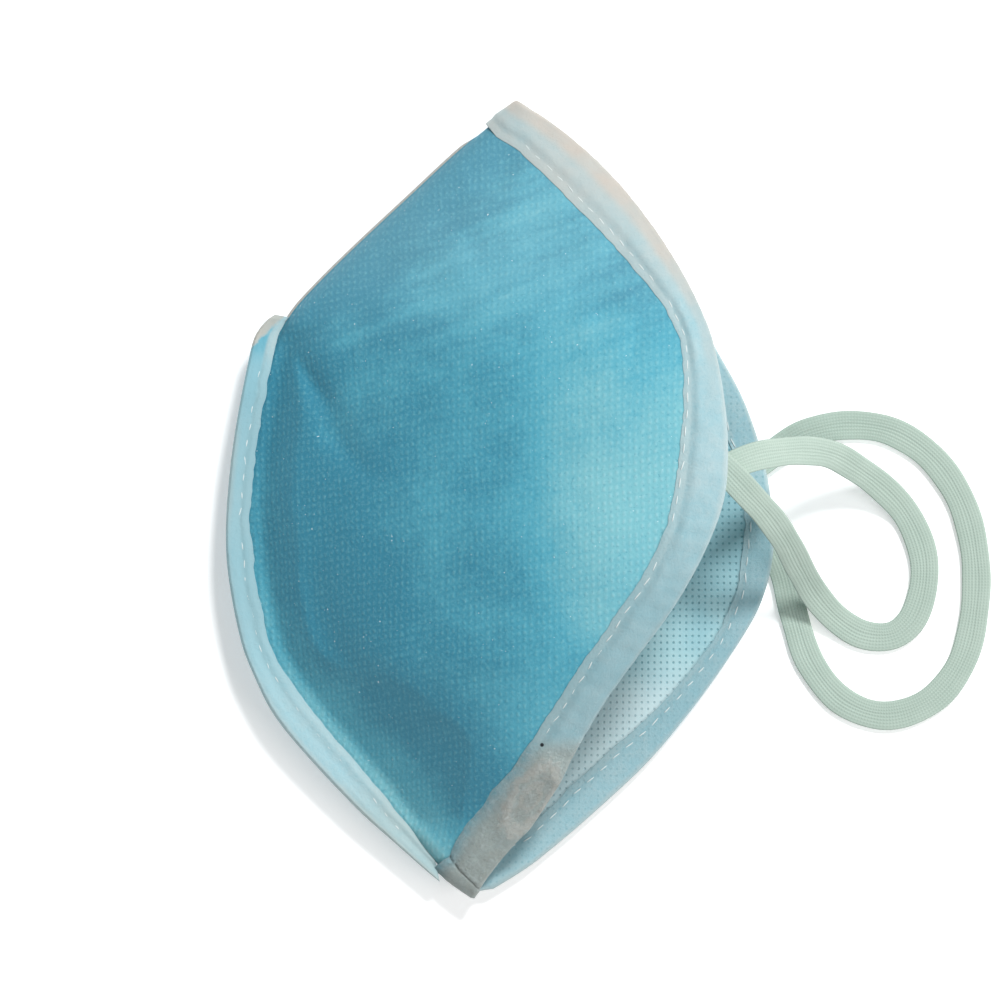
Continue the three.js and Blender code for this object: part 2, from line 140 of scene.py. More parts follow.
# front: the nose fold and the front seam; near, far: the two opening edges, as X
OUTLINE = Table("y front near far", [
    (75.8, 3.9, 2.9, 2.9), (72, -0.75, 9.2, 9), (66, -8, 16.5, 15.7),
    (58, -16.6, 24.1, 23.2), (48, -27.3, 31.3, 30.4), (41, -34.4, 35.3, 34.6),
    (35.6, -39.2, 37.9, 37.6), (30, -42.2, 40, 40.3), (20, -44.3, 42, 45.7),
    (10, -45.9, 42.8, 49.3), (0, -47, 42, 51.4), (-10, -46.6, 38.3, 51.8),
    (-20, -45.2, 32.7, 49.3), (-30, -42.2, 25.4, 43.4), (-40, -35.4, 18.4, 36.2),
    (-50, -26.9, 12.8, 27.8), (-60, -18.7, 6.7, 17.1), (-66, -14.5, 1.8, 10.1),
    (-70, -11, -1.2, 4.9), (-75.8, -5.2, -5.2, -4.6),
])

# inner lines of the edge binding on each half, as X
TAPE_LINE = Table("y near far", [
    (72, -4.6, -4.6), (68.8, -0.7, -0.7), (66, 3.6, 4.2), (58, 11.8, 13.6),
    (48, 21.2, 23.2), (41, 27.2, 28.6), (35.6, 31.2, 32.2), (30, 33.6, 35.6),
    (20, 34.5, 40.4), (10, 33.8, 44), (0, 32.4, 46.4), (-10, 28.9, 46),
    (-20, 22.8, 44), (-30, 15.8, 38.2), (-40, 9.3, 29.6), (-50, 2.7, 18.8),
    (-60, -5.6, 8.2), (-64, -8, 3.2), (-67.5, -9.9, -9.9), (-72, -12.2, -12.2),
])

# outline of the front seam binding, as X
FIN = Table("y edge", [
    (35.8, -41.2), (34.6, -43.5), (32.8, -45.3), (30.6, -46.6), (27, -47.5),
    (17, -49.5), (7, -51), (-5, -51.9), (-14, -51.5), (-27, -49),
    (-34, -46.3), (-40.5, -43), (-47.5, -37.5), (-59, -26.7), (-65, -20),
    (-70.4, -13.9), (-73.4, -10.2),
])

# front: height of the front line; near: top of the near half at its edge; far: underside of the
# far half at its edge; floor: underside of its middle; bulge: how far the near half swells between
# them; roll: the puffed strip along the front seam; flute: the groove beside it
HEIGHTS = Table("y front near far floor bulge roll flute", [
    (76, 5.6, 8.05, 3.15, 3.15, 0, 0, 0), (70, 5.7, 8.9, 3.2, 3.05, 0.3, 0, 0),
    (64, 6.2, 12, 3, 2.3, 1.2, 0, 0), (57, 6.9, 17.4, 2.8, 1.3, 2.9, 0, 0),
    (45, 8.2, 26.5, 2.5, 0, 5.4, 0, 0), (35, 9, 32.5, 2.4, 0, 7, 0, 0),
    (22, 9.4, 38, 3, 0, 8, 0, 0), (10, 9.6, 41, 4.4, 0, 8.4, 0, 0),
    (-3, 9.6, 42, 5.2, 0, 8.6, 0.2, 0.3), (-10, 9.5, 41.6, 4.2, 0, 8.6, 0.5, 0.8),
    (-17, 9.4, 40.4, 2.6, 0, 8.4, 0.9, 1.4), (-30, 9, 35.8, 2.4, 0, 7.8, 1.3, 2.2),
    (-42, 8.2, 29, 2.5, 0, 6.4, 1.2, 2), (-53, 7.2, 21.2, 2.6, 0.7, 4.4, 0.8, 1.2),
    (-63, 6.2, 13.2, 2.8, 2.2, 2, 0.2, 0.3), (-70, 5.7, 9.2, 3.15, 3.1, 0.2, 0, 0),
    (-76, 5.6, 8.05, 3.15, 3.15, 0, 0, 0),
])

# creases of the near half: from one end to the other, how deep and how wide
CREASES = [
    (-40, 30, -28, 9, 1.1, 3), (-5, 60.5, 3, 63.5, 0.5, 3),
    (-6, 48, 9, 51.5, 0.6, 3), (21, 47, 30, 37, 0.5, 2.6),
    (-24, 44, -6, 38, 0.5, 4),
]

# the middle lines of the elastic loops
LOOPS = {
    "left": [
        (38.5, 9, 37.7), (42.4, 5.6, 36.2), (46.8, 1, 33.4), (51, -3.6, 27.6), (54.2, -8.2, 20.4),
        (56.8, -13, 12.6), (59.8, -18, 5.6), (64, -22.6, 1.6), (69, -25.6, 0.7),
        (74.4, -25.8, 0.7), (78.2, -22.8, 0.7), (80.2, -17.6, 0.7), (80.6, -12, 0.7),
        (79.2, -6.6, 0.7), (76.4, -1.6, 1.2), (72, 2.8, 4), (67.2, 6.2, 8.8), (62.6, 8.6, 15),
        (57.6, 9.3, 22.2), (52.6, 9, 28.6), (47.4, 8, 33.2), (42.6, 6, 34.9), (38.6, 3.2, 35),
    ],
    "right": [
        (46.2, -2.6, 2.2), (49, -5, 2.1), (51.8, -9, 1.6), (54.2, -14.8, 0.95), (56, -22.4, 0.7),
        (59, -31, 0.7), (65, -38.2, 0.7), (73.4, -41, 0.7), (82, -38, 0.7), (87.8, -30.6, 0.7),
        (90.2, -20.6, 0.7), (90.2, -10.2, 0.7), (87.6, -0.2, 0.7), (82, 8, 0.7), (74.4, 13, 0.7),
        (66.2, 14.2, 0.7), (58.4, 12.8, 0.9), (52.4, 9.2, 1.6), (48.9, 6.8, 2.1), (46.2, 5.6, 2.2),
    ],
}


# ---- the surface that every layer follows ----


front_x, near_x, far_x = (partial(OUTLINE.at, name=name) for name in ("front", "near", "far"))
fin_x, front_z = partial(FIN.at, name="edge"), partial(HEIGHTS.at, name="front")


@lru_cache(maxsize=None)
def slant(line, y):
    """How much longer a step across a slanting line is, measured along X."""
    return hypot(1, line(y + 0.5) - line(y - 0.5))


def bend_x(y):
    return FOLD_RADIUS * slant(front_x, y)


@lru_cache(maxsize=None)
def row(y, edge, names):
    """The numbers that a half's height needs at y."""
    return (front_x(y), edge(y), slant(front_x, y), *(HEIGHTS.at(y, name) for name in names))


near_row = partial(row, edge=near_x, names=("front", "near", "bulge", "roll", "flute"))
far_row = partial(row, edge=far_x, names=("front", "far", "floor"))


def crease_depth(x, y, creases=CREASES):
    depth = 0
    for x0, y0, x1, y1, deep, width in creases:
        dx, dy = x1 - x0, y1 - y0
        across = ((x - x0) * dy - (y - y0) * dx) / hypot(dx, dy)
        if abs(across) > 3 * width:
            continue
        along = ((x - x0) * dx + (y - y0) * dy) / (dx * dx + dy * dy)
        fade = smooth(along * 3 + 0.6) * smooth((1 - along) * 2 + 0.4)
        depth += deep * fade * hill(across, width)
    return depth


def beside_seam(x, y):
    """How high the puffed strip along the front seam is, and how deep the groove beside it."""
    front, _, lean, *_, roll, flute = near_row(y)
    inward = (x - front) / lean
    return roll * hill(inward - 4.5, 2.6), flute * hill(inward - 11, 4.5)


def near_height(x, y):
    """The near half: swollen from the front line to the edge, with its roll, flute and creases."""
    front, edge, _, low, high, bulge, *_ = near_row(y)
    u = clamp((x - front) / max(edge - front, 1))
    v = u**1.3
    roll, flute = beside_seam(x, y)
    level = lerp(low + FOLD_RADIUS, high, u) + bulge * 4 * v * (1 - v)
    return level + (roll - flute) - crease_depth(x, y)


def far_height(x, y):
    """The far half: down from the front line to a flat middle, and up again to its edge."""
    front, edge, _, high, rim, floor = far_row(y)
    u = clamp((x - front) / max(edge - front, 1))
    down = (high - FOLD_RADIUS - floor) * (1 - smooth(u / 0.32))
    up = (rim - floor) * (1 - smooth((1 - u) / 0.36))
    return max(floor, 0) + down + up


def near_point(x, y):
    return Vector((x, y, near_height(x, y)))


def far_point(x, y):
    return Vector((x, y, far_height(x, y)))


def bend_rise(x, y, above):
    """How far the front bend is raised to meet a half. above is 1 at its top and -1 below."""
    side = near_height(x, y) if above >= 0 else far_height(x, y)
    return (side - (front_z(y) + copysign(FOLD_RADIUS, above))) * abs(above)


def bend_point(turn, y):
    """A point of the bend at the front line: turn is 90 at its top, 180 in front and 270 below."""
    angle = radians(turn)
    x = front_x(y) + bend_x(y) * (1 + cos(angle))
    above = sin(angle)
    return Vector((x, y, front_z(y) + FOLD_RADIUS * above + bend_rise(x, y, above)))


def offset(surface, a, y, distance, outward):
    """A point of a surface moved along its normal."""
    point = surface(a, y)
    if not distance:
        return point
    step = 0.25
    along = surface(a, y + step) - surface(a, y - step)
    across = surface(a + step, y) - surface(a - step, y)
    normal = along.cross(across).normalized()
    if normal.dot(outward) < 0:
        normal.negate()
    return point + normal * distance


near_offset = partial(offset, near_point, outward=UP)
far_offset = partial(offset, far_point, outward=DOWN)


def bend_offset(turn, y, distance):
    angle = radians(turn)
    return offset(bend_point, turn, y, distance, outward=Vector((cos(angle), 0, sin(angle))))


# ---- the sections of the tapes ----


def section(inner, outer, place):
    """A tape's width, and a function that places a share of it at a distance from the surface."""
    def at(share, distance):
        return place(*inner.lerp(outer, share), distance)

    return (outer - inner).length, at


def half_section(s, name, edge_x, place):
    """A section of the edge binding on one half, at s from the nose to the chin."""
    y_in, y_out = (lerp(*ends, s) for ends in zip(NOSE_TURN["y"], CHIN_TURN["y"]))
    uneven = 0.3 * wobble(y_in * 0.22, 6.5) + 0.3 * wobble(y_in * 0.75, 2.5)
    inner = Vector((TAPE_LINE.at(y_in, name) + uneven, y_in))
    return section(inner, Vector((edge_x(y_out), y_out)), place)


def turn_section(end, turn):
    """A section of the edge binding in its turn round the front line."""
    angle = radians(turn)
    axis = [Vector((front_x(y) + bend_x(y), y)) for y in end["y"]]
    along = (axis[1] - axis[0]).normalized()

    def at(share, distance):
        point = axis[0].lerp(axis[1], share)
        above = sin(angle)
        slope = front_x(point.y + 0.5) - front_x(point.y - 0.5)
        out = Vector((-1, slope)).normalized()
        rise = bend_rise(*(point - out * cos(angle) * FOLD_RADIUS), above)
        climb = near_height(*(point - out)) - near_height(*point)
        lean = angle + atan(climb) * max(above, 0)
        wide = 1
        if distance > 0:
            wide = lerp(*end["stretch"], share)
            distance = lerp(distance, 0.5, 0.6 * abs(cos(angle)))
        reach = -(cos(angle) * FOLD_RADIUS + cos(lean) * distance) * wide
        height = front_z(point.y) + above * FOLD_RADIUS + sin(lean) * distance + rise
        point += out * reach + along * (end["shear"] * share * reach)
        return Vector((point.x, point.y, height))

    return at


near_section = partial(half_section, name="near", edge_x=near_x, place=near_offset)
far_section = partial(half_section, name="far", edge_x=far_x, place=far_offset)


def seam_section(s):
    """A section of the front seam binding, at s from the nose to the chin, with Z as distance."""
    y_in, y_out = lerp(34.6, -67.8, s), lerp(35.1, -72.4, s)
    ripple = 0.3 * wobble(y_in * 0.17, 3.1) + 0.25 * wobble(y_in * 0.6, 7.7)
    ripple -= 0.35 * hill(y_in + 4.6, 3)
    ripple = lerp(ripple, 0.55, smooth((-59 - y_in) / 7))
    inner = Vector((front_x(y_in) + (ripple - 0.1) * slant(front_x, y_in), y_in))

    def place(x, y, distance):
        return Vector((x, y, front_z(y) + distance))

    return section(inner, Vector((fin_x(y_out), y_out)), place)


def lengths(points):
    """How far along a line each of its points lies."""
    total, found = 0, [0]
    for a, b in zip(points, points[1:]):
        total += (b - a).length
        found.append(total)
    return found


def spot(line, found, run):
    """The point at a distance along a line, and the index of the line's point after it."""
    i = next((i for i, reach in enumerate(found) if reach > run), len(line) - 1)
    share = (run - found[i - 1]) / (found[i] - found[i - 1])
    return line[i - 1].lerp(line[i], share), i


def pressed_end(x, y):
    """Along and across the oval where the lap is pressed down on the tape's end, 1 at its rim."""
    x, y = x - 5.8, y + 56.2
    return (x * 0.57 + y * 0.82) / 7, (x * 0.82 - y * 0.57) / 3.3


# ---- meshes ----


def finished_mesh(name, bm):
    for face in bm.faces:
        face.smooth = True
    mesh = bpy.data.meshes.new(name)
    bm.to_mesh(mesh)
    bm.free()
    return mesh


def woven_mesh(name, rings, turned=False):
    """A mesh through rings of (point, across, along), whose UV map is the cloth's own plane.

    Points that meet are welded, so that a ring and the row of rings may close.
    """
    columns, rows = len(rings[0]), len(rings)
    bm = bmesh.new()
    bmesh.ops.create_grid(bm, x_segments=columns - 1, y_segments=rows - 1, size=0.5)
    uv = bm.loops.layers.uv.new("cloth")
    for vert in bm.verts:
        i, j = round((vert.co.x + 0.5) * (columns - 1)), round((vert.co.y + 0.5) * (rows - 1))
        point, across, along = rings[j][i]
        for loop in vert.link_loops:
            loop[uv].uv = (across, along)
        vert.co = point * MM
    bmesh.ops.remove_doubles(bm, verts=bm.verts, dist=1e-6)
    if turned:
        bmesh.ops.reverse_faces(bm, faces=bm.faces)
    return finished_mesh(name, bm)


def placed(name, data):
    item = bpy.data.objects.new(name, data)
    bpy.context.scene.collection.objects.link(item)
    return item


def show(mesh, finish, node=None, wall=None):
    """Shows a mesh as a piece of the mask, with its finish and the size that is its wall."""
    piece = placed(mesh.name, mesh)
    mesh.materials.append(finish)
    if wall:
        thick = piece.modifiers.new("Wall", "SOLIDIFY")
        thick.thickness = getattr(bpy.context.scene.mask_sizes, wall)
        thick.offset = -1
    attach(piece, "root")
    if node:
        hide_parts(node)
    return piece


def tape_mesh(name, profile, sections, middle, raised):
    """A tape's mesh: its profile led through sections, each a place and the tape's state there.

    Its length is measured at the share middle, and raised gives each point's distance.
    """
    found = lengths([place(middle, 0) for place, _ in sections])
    rings = [
        [(place(share, raised(place, state, along, across, share, distance)), across, along)
         for across, share, distance in profile]
        for (place, state), along in zip(sections, found)
    ]
    return woven_mesh(name, rings)


def half_xs(y, edge, count, ease):
    """The X of the points across a half, from its bend to an edge."""
    start = front_x(y) + bend_x(y)
    return [lerp(start, max(edge, start + 0.9), t**ease) for t in steps(0, 1, count)]


def layer_rows(count):
    """Stations from nose to chin, closer together at both ends."""
    eased = [0.45 * sin(s * pi / 2) + 0.55 * s for s in steps(-1, 1, count)]
    return [lerp(NOSE_Y, CHIN_Y, (s + 1) / 2) for s in eased]


# fine wrinkles of the near half, in the same columns as the creases
WRINKLES = [
    (12, 36.5, 24, 42.6, 0.6, 1.7), (18, 34, 28.6, 38.4, 0.5, 1.5),
    (26.4, 34, 24.6, 25, 0.4, 1.9), (-4, 42.5, 16, 48.5, 0.55, 1.7),
    (-12, 53, 3, 61.5, 0.55, 1.6), (-16, 44, -2, 51, 0.4, 2.2),
    (-34, 14, -24, 4, 0.4, 2), (-41, 30, -32, 17.5, 0.55, 1.2),
]


def cloth_relief(x, y):
    """The slight unevenness of the near half, as a height."""
    broad = wobble(x * 0.055 + 4, y * 0.055 + 9, 2)
    small = wobble(x * 0.17 + 1, y * 0.17 + 5, 8)
    inside = smooth((TAPE_LINE.at(y, "near") - x) / 9) * smooth((x - front_x(y)) / 8)
    roll, flute = beside_seam(x, y)
    uneven = inside * (0.5 * broad + 0.16 * small - crease_depth(x, y, WRINKLES))
    return uneven + 0.5 * flute - 0.75 * roll


def settled(point, depth=0.0):
    """A point at a depth under the outer face, pressed down where cloth is flat by the seam."""
    y = point.y
    inward = (point.x - front_x(y)) / slant(front_x, y)
    beyond = inward - SEAM_STRIP["width"]
    climb = SEAM_STRIP["climb"] * (beyond + hypot(beyond, 1)) / 2
    flat = SEAM_STRIP["height"] + SEAM_STRIP["slope"] * inward
    limit = front_z(y) + flat + climb - 0.7 * depth
    beside = smooth((34 - y) / 6) * smooth((y + 66) / 6)
    return Vector((point.x, y, lerp(point.z, min(point.z, limit), beside)))


def zero_crossing(points, found):
    """How far along a line it crosses the plane x = 0, or would if it went on straight."""
    for a, b, run, reach in zip(points, points[1:], found, found[1:]):
        if (a.x <= 0) != (b.x <= 0):
            return lerp(run, reach, -a.x / (b.x - a.x))
    end = 0 if abs(points[0].x) < abs(points[-1].x) else -1
    return found[end] - copysign(points[end].x, (points[-1].x - points[0].x) * points[end].x)


def flattened(points, middle):
    """A ring's points with their across and along. The halves part at the index middle, and across
    is measured from the plane x = 0 on each."""
    found = lengths(points)
    near_zero = zero_crossing(points[: middle + 1], found[: middle + 1])
    far_zero = zero_crossing(points[middle:], found[middle:])
    return [
        (point, near_zero - run if i <= middle else run - far_zero, point.y)
        for i, (point, run) in enumerate(zip(points, found))
    ]


def outer_ring(y):
    """The outer face of the outer layer at y: near half, bend, seam allowance, bend, far half."""
    skip = degrees(asin(SEAM_HALF / FOLD_RADIUS))
    near_edge, far_edge = (edge(y) - OUTER_HEM * slant(edge, y) for edge in (near_x, far_x))
    shown = smooth((69.2 - y) / 2.2) * smooth((y + 67) / 3)
    tip = front_x(y) - lerp(-0.05, CREASE_LIP, shown) * slant(front_x, y)
    if y <= 33:
        tip = min(tip, lerp(tip, fin_x(y) + 1.6 * slant(fin_x, y), shown))
    middle = front_z(y)
    xs = reversed(half_xs(y, near_edge, 84, 1.25))
    points = [near_point(x, y) + UP * cloth_relief(x, y) for x in xs]
    points += [bend_point(turn, y) for turn in steps(90, 180 - skip, 8)[1:]]
    points = [settled(point) for point in points]
    parting = len(points) + 1
    lip = (0.15, 0.6), (0, 0.3), (0, -0.3), (0.15, -0.6)
    points += [Vector((tip + back, y, middle + z)) for back, z in lip]
    points += [bend_point(turn, y) for turn in steps(180 + skip, 270, 8)[:-1]]
    points += [far_point(x, y) for x in half_xs(y, far_edge, 52, 1.1)]
    return flattened(points, parting)


def lining_ring(y):
    """The outer face of the lining at y. Its edges lie in the edge binding."""
    near_xs, far_xs = (half_xs(y, TAPE_LINE.at(y, name) + LINING_HEM, 60, ease)
                       for name, ease in (("near", 1.25), ("far", 1.1)))
    near = [near_offset(x, y, -LINING_DEPTH) for x in reversed(near_xs)]
    bend = [bend_offset(turn, y, -LINING_DEPTH) for turn in steps(90, 270, 12)[1:-1]]
    far = [far_offset(x, y, -LINING_DEPTH) for x in far_xs]
    upper = [settled(point, LINING_DEPTH) for point in near + bend]
    return flattened(upper + far, len(near) + len(bend) // 2)


# ---- materials ----


class Number:
    """A number in a material's node tree. Arithmetic on it adds Math nodes."""

    def __init__(self, finish, socket):
        self.finish, self.socket = finish, socket

    def math(self, operation, *values, clamped=False):
        settings = {"operation": operation, "use_clamp": clamped}
        return self.finish.node("ShaderNodeMath", settings, dict(enumerate(values)))

    def __add__(self, other):
        return self.math("ADD", self, other)

    def __sub__(self, other):
        return self.math("SUBTRACT", self, other)

    def __rsub__(self, other):
        return self.math("SUBTRACT", other, self)

    def __mul__(self, other):
        return self.math("MULTIPLY", self, other)

    def __truediv__(self, other):
        return self.math("DIVIDE", self, other)

    __radd__, __rmul__ = __add__, __mul__

    def centred(self):
        """What is left of it past a whole number, from -0.5 to 0.5."""
        return self.math("FRACT", self) - 0.5

    def absolute(self):
        return self.math("ABSOLUTE", self)

    def hypot(self, other):
        return self.math("SQRT", self * self + other * other)

    def clamped(self):
        return self.math("ADD", self, 0.0, clamped=True)

    def cosine(self):
        return self.math("COSINE", self)

    def rise(self, low, high):
        """0 below low, 1 above high, and smooth between them. low may be the larger one."""
        settings = {"interpolation_type": "SMOOTHSTEP"}
        sockets = {0: self, 1: min(low, high), 2: max(low, high)}
        share = self.finish.node("ShaderNodeMapRange", settings, sockets)
        return share if low < high else 1 - share


class Finish:
    """A material on a Principled BSDF. Its nodes are added by node()."""

    def __init__(self, name, roughness=0.8, specular=0.3, sheen=0.0):
        self.material = bpy.data.materials.new(name)
        self.material.use_nodes = True
        self.tree = self.material.node_tree
        self.shader = self.tree.nodes["Principled BSDF"]
        values = {"Roughness": roughness, "Specular IOR Level": specular, "Sheen Weight": sheen}
        for socket, value in {**values, "Sheen Roughness": 0.5}.items():
            self.shader.inputs[socket].default_value = value

    def feed(self, socket, value):
        if isinstance(value, Number):
            value = value.socket
        if isinstance(value, bpy.types.NodeSocket):
            self.tree.links.new(value, socket)
        elif socket.type == "RGBA":
            socket.default_value = (*value, 1)
        else:
            socket.default_value = value

    def node(self, kind, settings, sockets, output=0):
        """Adds a node with its settings and its sockets' values or links, and gives one output."""
        node = self.tree.nodes.new(kind)
        for key, value in settings.items():
            setattr(node, key, value)
        for key, value in sockets.items():
            self.feed(node.inputs[key], value)
        return Number(self, node.outputs[output])

    def place(self):
        """The point on the object, in its own coordinates."""
        return self.node("ShaderNodeTexCoord", {}, {}, "Object")

    def split(self, vector):
        """Two or three parts of a vector."""
        node = self.tree.nodes.new("ShaderNodeSeparateXYZ")
        self.feed(node.inputs[0], vector)
        return [Number(self, output) for output in node.outputs]

    def place_mm(self):
        """x and y on the object, in millimetres."""
        return [part * 1000 for part in self.split(self.place())[:2]]

    def cloth(self):
        """across and along in the cloth's own plane, in millimetres."""
        return self.split(self.node("ShaderNodeUVMap", {"uv_map": "cloth"}, {}))[:2]

    def noise(self, size, detail=2, rough=0.5, at=None):
        """Noise from 0 to 1 whose blotches are about size millimetres across."""
        sockets = {"Scale": 1 / (size * MM), "Detail": detail, "Roughness": rough}
        return self.node("ShaderNodeTexNoise", {}, {"Vector": at or self.place(), **sockets})

    def mix(self, a, b, share):
        """A colour between two."""
        settings = {"data_type": "RGBA", "clamp_factor": True}
        return self.node("ShaderNodeMix", settings, {0: share, 6: a, 7: b}, 2)

    def layered(self, colour, *layers):
        """A colour with others over it, each with its share."""
        for over, share in layers:
            colour = self.mix(colour, over, share)
        return colour

    def finished(self, colour, height=None, depth=0.1, roughness=None):
        """Sets the colour, and a bump whose height of 0 to 1 stands for depth millimetres."""
        self.feed(self.shader.inputs["Base Color"], colour)
        if roughness is not None:
            self.feed(self.shader.inputs["Roughness"], roughness)
        if height is not None:
            inputs = {"Height": height, "Distance": depth * MM, "Strength": 1.0}
            self.feed(self.shader.inputs["Normal"], self.node("ShaderNodeBump", {}, inputs))
        return self.material


def blue_nonwoven(colours):
    """Blue spunbond cloth, embossed with short dashes in slightly climbing rows."""
    finish = Finish("blue_nonwoven", specular=0.25, sheen=0.15)
    across, along = finish.cloth()
    x, y = finish.place_mm()
    shift = finish.noise(8) * 0.9
    column = (across / 1.2 + shift).centred()
    row = ((along - across * 0.17) / 1.36 + shift).centred()
    dash = column.absolute().rise(0.42, 0.04) * row.absolute().rise(0.48, 0.06)
    dash = dash * finish.noise(1.1, 2, 0.6).rise(0.2, 0.58)
    fibres = finish.noise(0.6, 5, 0.75)
    grain = finish.noise(1.3, 4, 0.7)
    broad = finish.noise(17, 3, 0.6) * 0.5 + finish.noise(40) * 0.5
    # painted light on the crest of the near half's swell
    painted_light_on_crest = x.rise(-6, 24) * y.rise(-58, -14) * y.rise(50, 14)
    inward = finish.node("ShaderNodeAttribute", {"attribute_name": "inward"}, {}, "Fac")
    slanting = {0: (x + y * 0.4) * (MM / 30), 1: (y - x * 0.4) * (MM / 4.5)}
    pulled = finish.noise(1, at=finish.node("ShaderNodeCombineXYZ", {}, slanting))
    low = y.rise(6, -24)
    # random fade, grain and streaks, with painted light and shade: painted light on the crest,
    # painted shade on the lower left flank, a painted highlight on the strip beside the front seam
    # low down and painted shade in the valley beyond it; also darker along the nose fold and on the
    # upper left, and lighter towards the nose
    tone_and_painted_light = (
        painted_light_on_crest * 0.62 + y.rise(30, 70) * 0.1 + (broad - 0.5) * 1.4 + 0.24
        + (grain - 0.5) * 0.5 - x.rise(-8, -42) * y.rise(25, -20) * 0.35
        + (pulled - 0.5) * y.rise(14, 42) * 0.9 - inward.rise(16, 1) * y.rise(31, 42) * 0.5
        - x.rise(-28, -42) * y.rise(4, 20) * y.rise(35, 30) * 0.3
        + inward.rise(11, 3) * low * 0.5 - inward.rise(8, 14) * inward.rise(27, 17) * low * 0.16
        + inward.rise(3.8, 0.6) * low * 0.35
    ).clamped()
    fleck = finish.noise(0.42, 0).rise(0.83, 0.87) * finish.noise(5, 0).rise(0.4, 0.65)
    colour = finish.layered(
        colours.blue_deep,
        (colours.blue, tone_and_painted_light.rise(0, 0.55)),
        (colours.blue_light, tone_and_painted_light.rise(0.4, 1.05)),
        (colours.blue_light, dash * (0.2 + tone_and_painted_light * 0.24) + (fibres - 0.5) * 1.3),
        (colours.fleck, dash * tone_and_painted_light.rise(0.5, 1.0) * 0.1),
        (colours.blue_deep, fibres.rise(0.46, 0.26) * 0.6),
        (colours.fleck, fleck * 0.75),
        (colours.lining, y.rise(22, 50) * 0.12 * (0.4 + broad * 1.2)),
        (colours.tape_warm, inward.rise(0.02, -0.15) * y.rise(33, 35) * 0.85),
    )
    return finish.finished(colour, dash * 0.35 + fibres * 0.5 + grain * 0.4, 0.17)


def pale_nonwoven(colours):
    """Pale spunbond cloth with a square lattice of bond points."""
    finish = Finish("pale_nonwoven", roughness=0.85, specular=0.2, sheen=0.1)
    across, along = finish.cloth()
    column, row = (across / 1.2).centred(), (along / 1.26).centred()
    point = column.hypot(row * 1.049).rise(0.24, 0.13)
    fibres = finish.noise(0.4, 4, 0.7)
    _, y = finish.place_mm()
    # painted light: the lining is lighter towards the chin, with fainter bond points
    tone_and_painted_light = y.rise(-28, -40)
    colour = finish.layered(
        colours.lining_deep,
        (colours.lining, (finish.noise(9, 3) * 0.8 + fibres * 0.35).rise(0.35, 0.75)),
        (colours.fibre, tone_and_painted_light * 0.6),
        # painted shadow of the elastic on the lining's upper part
        (colours.lining_deep, y.rise(-20, -11) * 0.9),
        (colours.lining_point, point * (0.4 + fibres * 0.5) * (1 - tone_and_painted_light * 0.4)),
    )
    return finish.finished(colour, fibres * 0.4 - point * 0.6 + 0.6, 0.14)


def tape(name, colours, rim):
    """Thin white tape over the cloth, which shows through it but for its folded rim, which is
    whiter for its doubled tape and for a painted highlight on the fold.

    across runs from 0 at one inner line, over 10 at the fold, to 20 at the other.
    """
    finish = Finish(name, roughness=0.75, sheen=0.15)
    across, _ = finish.cloth()
    share = 10 - (across - 10).absolute()
    fibres = finish.noise(0.55, 6, 0.75)
    streaks = finish.noise(2.4, 5, 0.7)
    cloudy = finish.noise(9, 4, 0.6)
    through = (streaks - 0.5) * 1.5 + (cloudy - 0.5) * 1.6 + (fibres - 0.5) * 0.6 + 0.5
    # the folded rim is lighter, partly as a painted highlight on the fold; the inner margin is
    # paler too
    edge = share.rise(rim, rim + 1.2) + share.rise(2.3, 1.6) * 0.6
    colour = finish.layered(
        colours.tape_over_blue,
        (colours.tape_pale, through),
        (colours.tape, edge * (0.25 + cloudy * 0.5)),
        (colours.fibre, fibres.rise(0.54, 0.8) * 0.3),
        (colours.tape_shade, fibres.rise(0.46, 0.25) * 0.35),
    )
    masks = (*finish.place_mm(), across, cloudy, fibres, streaks)
    return finish, colour, fibres * 0.5 + streaks * 0.7, masks


def edge_tape(colours):
    """The tape of the two opening edges: warm near the nose, greyish where it laps at the chin."""
    finish, colour, height, masks = tape("edge_tape", colours, 8.3)
    x, y, across, cloudy, fibres, streaks = masks
    upper = across.rise(10.6, 9.6)
    column, row = (x / 1.2).centred(), (y / 1.26).centred()
    point = column.hypot(row).rise(0.26, 0.1)
    seen = across.rise(10.2, 11.2) * 0.4 + y.rise(-24, -44) * upper * 0.14
    inner = across.rise(5.2, 7.4)
    nose = (y.rise(14, 60) * inner + y.rise(30, 60) * (1 - inner) * 0.5) * upper
    lap = y.rise(-43.5, -48.5) * upper
    fray = across.rise(3.4, 0.2) * lap * (streaks * 1.6 - 0.1)
    long, wide = pressed_end(x, y)
    oval = long.hypot(wide) + (streaks - 0.5) * 1.2
    ring = (oval - 1).absolute().rise(0.35, 0.05) + (oval - 0.4).absolute().rise(0.2, 0.05) * 0.5
    frayed = finish.noise(1.3, 6, 0.8).rise(0.4, 0.72)
    hollow = finish.noise(2.6, 4, 0.7).rise(0.52, 0.32) + y.rise(-62, -71) * 0.8
    speck = (x - 7.9).hypot(y + 46.1).rise(0.42, 0.3) * upper
    colour = finish.layered(
        colour,
        (colours.lining_point, point * seen * streaks.rise(0.3, 0.6)),
        (colours.tape_warm, nose * (0.5 + cloudy * 0.8)),
        # painted shade on the tape's lower part
        (colours.tape_shade, y.rise(6, -22) * (0.42 - y.rise(-40, -56) * 0.15)),
        (colours.tape_grey, lap * (0.5 + fibres * 0.5)),
        (colours.blue, fray.clamped() * 0.75),
        (colours.tape_soiled, oval.rise(1.0, 0.4) * lap * 0.4),
        (colours.tape_warm, ring * lap * 0.45),
        (colours.fibre, frayed * lap * 0.35),
        (colours.tape_soiled, hollow * lap * 0.25),
        (colours.speck, speck),
    )
    return finish.finished(colour, height + (ring + frayed * 1.5) * lap * 0.5, 0.25)


